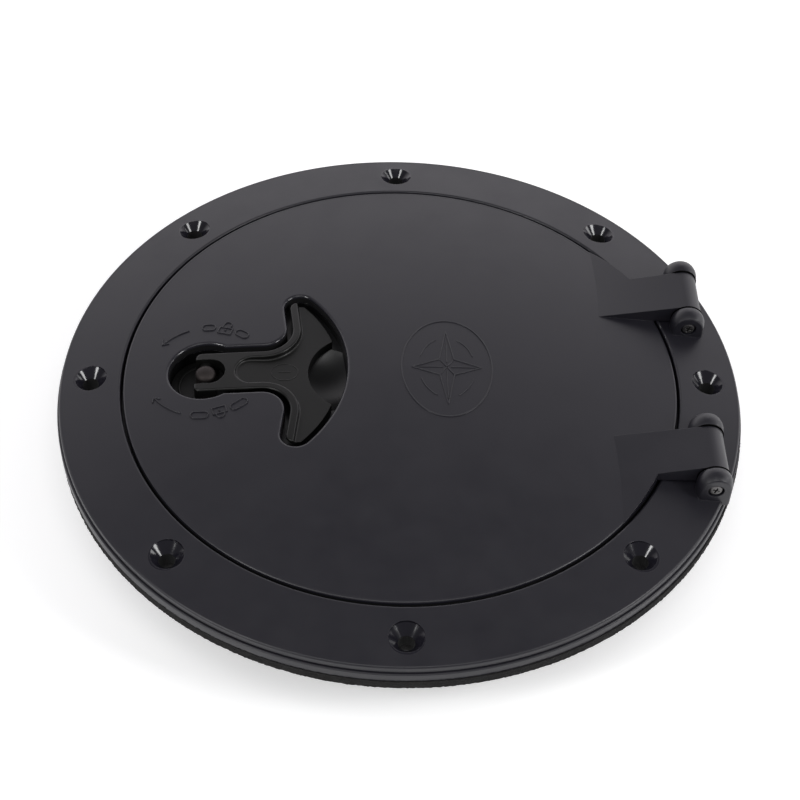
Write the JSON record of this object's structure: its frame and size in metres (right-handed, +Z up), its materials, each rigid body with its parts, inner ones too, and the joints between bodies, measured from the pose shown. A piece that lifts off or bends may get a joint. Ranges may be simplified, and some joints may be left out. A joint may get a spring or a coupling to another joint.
{
  "type": "deck hatch",
  "caption": "Round domed access hatch for a boat deck: flanged ring with collar, hinged sealed lid and a flush lift-and-turn T handle that drives a latch bolt.",
  "frame": {"origin": "hatch axis on the underside of the flange; the foam gasket lies 4.2 mm below it", "axes": "+Z up, out of the deck; -X towards the latch; +X towards the hinges; the hinge axis is along Y"},
  "size_m": [0.2872, 0.2872, 0.0549],
  "materials": {
    "ring_plastic": "fine satin grain, UV-stable moulding",
    "lid_plastic": "fine satin grain, UV-stable moulding",
    "handle_plastic": "smooth satin, slightly glossier than the lid",
    "gasket_foam": "closed-cell foam, rough cut edge",
    "seal_rubber": "matt elastomer",
    "rotor_plastic": "smooth satin",
    "bearing_plastic": "natural acetal",
    "bolt_plastic": "glass-filled nylon",
    "spindle_steel": "bright turned stainless steel",
    "bush_steel": "drawn stainless tube",
    "strike_steel": "pressed stainless sheet",
    "fastener_steel": "stainless fasteners"
  },
  "bodies": {
    "base": {"base_ring": "ring_plastic", "deck_gasket": "gasket_foam", "latch_strike": "strike_steel", "strike_rivets": "fastener_steel", "hinge_screw_front": "fastener_steel", "hinge_screw_rear": "fastener_steel", "hinge_nut_front": "fastener_steel", "hinge_nut_rear": "fastener_steel"},
    "lid": {"lid_panel": "lid_plastic", "recess_tub": "lid_plastic", "lid_seal": "seal_rubber", "spindle_bushing": "bearing_plastic", "hinge_bush_front": "bush_steel", "hinge_bush_rear": "bush_steel"},
    "rotor": {"latch_turntable": "rotor_plastic", "turntable_seal": "seal_rubber", "latch_spindle": "spindle_steel", "handle_pivot_pin": "spindle_steel", "pivot_spacers": "rotor_plastic", "wave_washer": "fastener_steel", "bolt_washer": "fastener_steel", "latch_bolt": "bolt_plastic", "bolt_nut": "fastener_steel"},
    "handle": {"latch_handle": "handle_plastic"}
  },
  "joints": [
    {"name": "lid_swing", "type": "hinge", "parent": "base", "child": "lid", "pos_m": [0.1243, 0, 0.0136], "axis": [0, 1, 0], "range_deg": [0, 110]},
    {"name": "latch_turn", "type": "hinge", "parent": "lid", "child": "rotor", "pos_m": [-0.0817, 0, 0], "axis": [0, 0, 1], "range_deg": [0, 90]},
    {"name": "handle_lift", "type": "hinge", "parent": "rotor", "child": "handle", "pos_m": [-0.0817, 0, 0.0092], "axis": [0, -1, 0], "range_deg": [0, 90]}
  ],
  "couplings": [
    {"joint": "handle_lift", "follows": "latch_turn", "ratio": 1}
  ]
}
